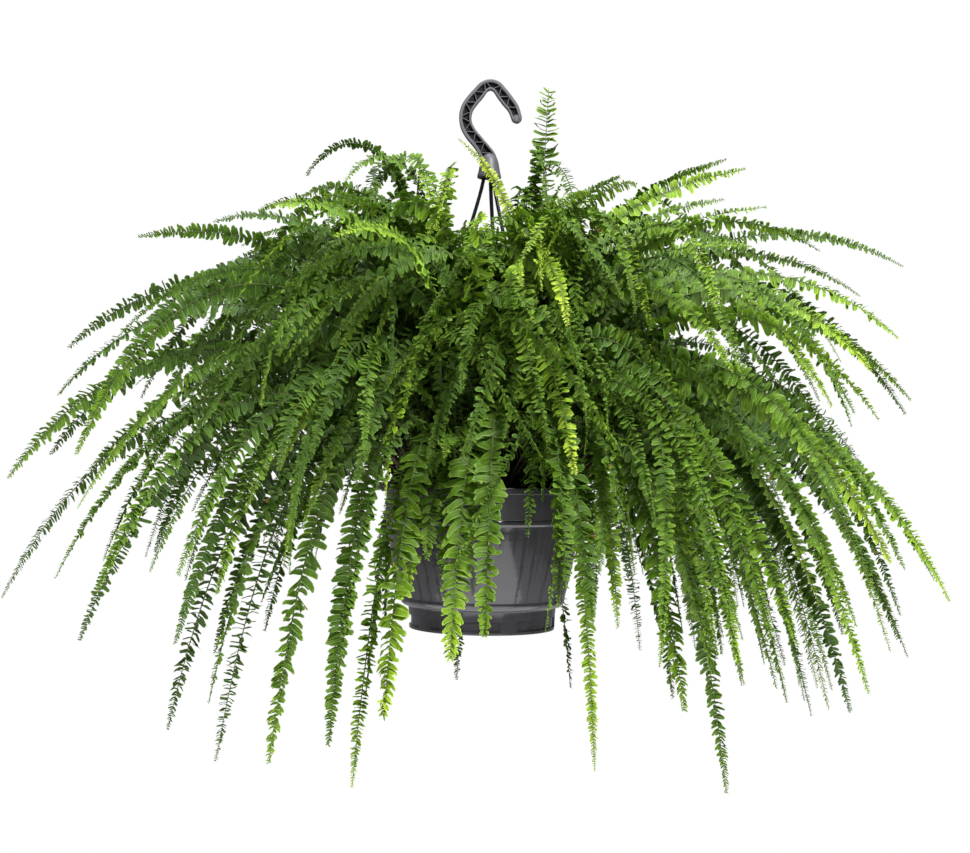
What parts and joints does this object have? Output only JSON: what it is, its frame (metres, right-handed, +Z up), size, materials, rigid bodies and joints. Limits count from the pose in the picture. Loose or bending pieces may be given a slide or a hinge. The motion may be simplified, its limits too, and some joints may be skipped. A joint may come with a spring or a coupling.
{
  "type": "potted fern",
  "caption": "Full arching fern in a round hanging pot with an outer water-holding shell, three straight strands and a moulded hook.",
  "frame": {"origin": "seat of the hook, the point of its inner bend that rests on a rail", "axes": "+Z up along the axis of the pot, +X towards the open side of the hook, -Y towards the viewer of the picture"},
  "size_m": [1.1265, 0.9078, 0.8095],
  "materials": {
    "hook_plastic": "moulded satin grey plastic, darker in the pockets",
    "strand_plastic": "glossy black plastic strand",
    "shell_plastic": "glossy dark charcoal plastic",
    "pot_plastic": "satin near-black plastic",
    "soil": "damp dark potting soil, no gloss",
    "fern_leaf": "fresh green leaflets with a soft sheen, yellow-green at the tips"
  },
  "bodies": {
    "root": {"hook": "hook_plastic", "strand_1": "strand_plastic", "strand_2": "strand_plastic", "strand_3": "strand_plastic", "outer_shell": "shell_plastic", "grow_pot": "pot_plastic", "soil": "soil", "fern_crown_01": "fern_leaf", "fern_crown_02": "fern_leaf", "fern_crown_03": "fern_leaf", "fern_crown_04": "fern_leaf", "fern_crown_05": "fern_leaf", "fern_crown_06": "fern_leaf", "fern_crown_07": "fern_leaf", "fern_crown_08": "fern_leaf", "fern_crown_09": "fern_leaf", "fern_crown_10": "fern_leaf", "fern_crown_11": "fern_leaf", "fern_crown_12": "fern_leaf", "fern_crown_13": "fern_leaf", "fern_crown_14": "fern_leaf", "fern_crown_15": "fern_leaf", "fern_crown_16": "fern_leaf", "fern_crown_17": "fern_leaf", "fern_crown_18": "fern_leaf", "fern_crown_19": "fern_leaf", "fern_crown_20": "fern_leaf", "fern_crown_21": "fern_leaf", "fern_crown_22": "fern_leaf", "fern_crown_23": "fern_leaf", "fern_crown_24": "fern_leaf", "fern_crown_25": "fern_leaf", "fern_crown_26": "fern_leaf", "fern_crown_27": "fern_leaf", "fern_crown_28": "fern_leaf", "fern_crown_29": "fern_leaf", "fern_crown_30": "fern_leaf", "fern_crown_31": "fern_leaf", "fern_crown_32": "fern_leaf", "fern_crown_33": "fern_leaf", "fern_crown_34": "fern_leaf", "fern_crown_35": "fern_leaf", "fern_crown_36": "fern_leaf"}
  },
  "joints": []
}
